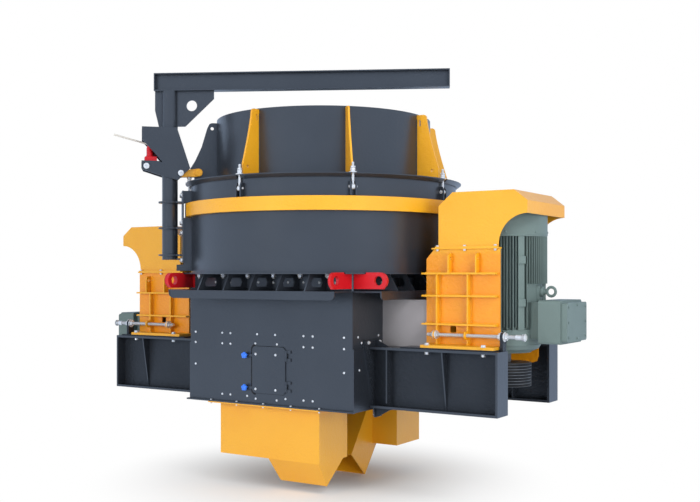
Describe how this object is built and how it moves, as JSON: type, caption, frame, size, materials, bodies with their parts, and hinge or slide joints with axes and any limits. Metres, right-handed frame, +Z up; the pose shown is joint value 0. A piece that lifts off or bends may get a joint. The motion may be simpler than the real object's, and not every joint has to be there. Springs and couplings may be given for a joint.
{
  "type": "twin-motor vertical shaft impact crusher",
  "caption": "Vertical shaft impact crusher: round drum with feed hat on a square base, belt-driven by upright motors on side beams, with a roof-lift jib and discharge chutes.",
  "frame": {"origin": "underside of the base frame, on the drum's vertical axis", "axes": "+Z up along the drum's axis, +X towards the right motor, -Y towards the inspection door"},
  "size_m": [4.84, 2.5775, 3.647],
  "materials": {
    "dark_paint": "gloss blue-grey paint with fine orange peel",
    "yellow_paint": "gloss signal yellow paint",
    "red_paint": "gloss red paint",
    "motor_paint": "satin grey-green machine paint",
    "zinc": "bright zinc plating",
    "cast_grey": "turned grey iron",
    "belt_rubber": "black wrapped belt",
    "handle_rod": "pale satin lacquer",
    "grey_paint": "light grey paint",
    "knob_blue": "gloss blue plastic"
  },
  "bodies": {
    "crusher": {"housing_front": "dark_paint", "housing_rear": "dark_paint", "belt_tunnel": "grey_paint", "deck_plate": "dark_paint", "gusset_ring": "dark_paint", "lifting_lugs": "red_paint", "drum_flange": "dark_paint", "drum": "dark_paint", "drum_band": "yellow_paint", "roof_cover": "dark_paint", "feed_tube": "dark_paint", "feed_hat": "dark_paint", "hat_gussets": "yellow_paint", "lever_gusset": "dark_paint", "bolt_lugs": "dark_paint", "swing_bolts": "zinc", "rotor": "cast_grey", "bearing_cartridge": "dark_paint", "beam_front_right": "dark_paint", "beam_rear_right": "dark_paint", "beam_front_left": "dark_paint", "beam_rear_left": "dark_paint", "belts_right": "belt_rubber", "belts_left": "belt_rubber", "chute_front": "yellow_paint", "chute_rear": "yellow_paint", "jib_bracket": "dark_paint", "jib_post": "dark_paint", "lift_lever": "dark_paint", "lever_pins": "zinc", "lever_links": "yellow_paint", "lift_jack": "red_paint", "door_hinges": "dark_paint", "door_knobs": "knob_blue"},
    "jib": {"jib_boom": "dark_paint"},
    "door": {"access_door": "dark_paint"},
    "handle": {"jack_handle": "handle_rod"},
    "drive_right": {"carriage_right": "yellow_paint", "motor_right": "motor_paint", "terminal_box_right": "motor_paint", "cowl_right": "yellow_paint", "tension_rods_right": "zinc"},
    "drive_left": {"carriage_left": "yellow_paint", "motor_left": "motor_paint", "terminal_box_left": "motor_paint", "cowl_left": "yellow_paint", "tension_rods_left": "zinc"},
    "sheave_right": {"sheave_right": "cast_grey"},
    "sheave_left": {"sheave_left": "cast_grey"}
  },
  "joints": [
    {"name": "jib_swing", "type": "hinge", "parent": "crusher", "child": "jib", "pos_m": [-0.99066, -0.99066, 2.5], "axis": [0, 0, 1], "range_deg": [-120, 120]},
    {"name": "door_hinge", "type": "hinge", "parent": "crusher", "child": "door", "pos_m": [0.207, -0.87, 0.28], "axis": [0, 0, 1], "range_deg": [0, 120]},
    {"name": "jack_handle_pivot", "type": "hinge", "parent": "crusher", "child": "handle", "pos_m": [-1.11723, -1.055, 2.245], "axis": [-0.7071, 0.7071, 0], "range_deg": [-45, 8]},
    {"name": "drive_slide_right", "type": "slide", "parent": "crusher", "child": "drive_right", "axis": [-1, 0, 0], "range_m": [0, 0.06]},
    {"name": "drive_slide_left", "type": "slide", "parent": "crusher", "child": "drive_left", "axis": [1, 0, 0], "range_m": [0, 0.06]},
    {"name": "sheave_spin_right", "type": "hinge", "parent": "drive_right", "child": "sheave_right", "pos_m": [1.816, 0, 0.28], "axis": [0, 0, 1], "continuous": true},
    {"name": "sheave_spin_left", "type": "hinge", "parent": "drive_left", "child": "sheave_left", "pos_m": [-1.816, 0, 0.092], "axis": [0, 0, 1], "continuous": true}
  ],
  "couplings": [
    {"joint": "sheave_spin_left", "follows": "sheave_spin_right", "ratio": 1}
  ]
}
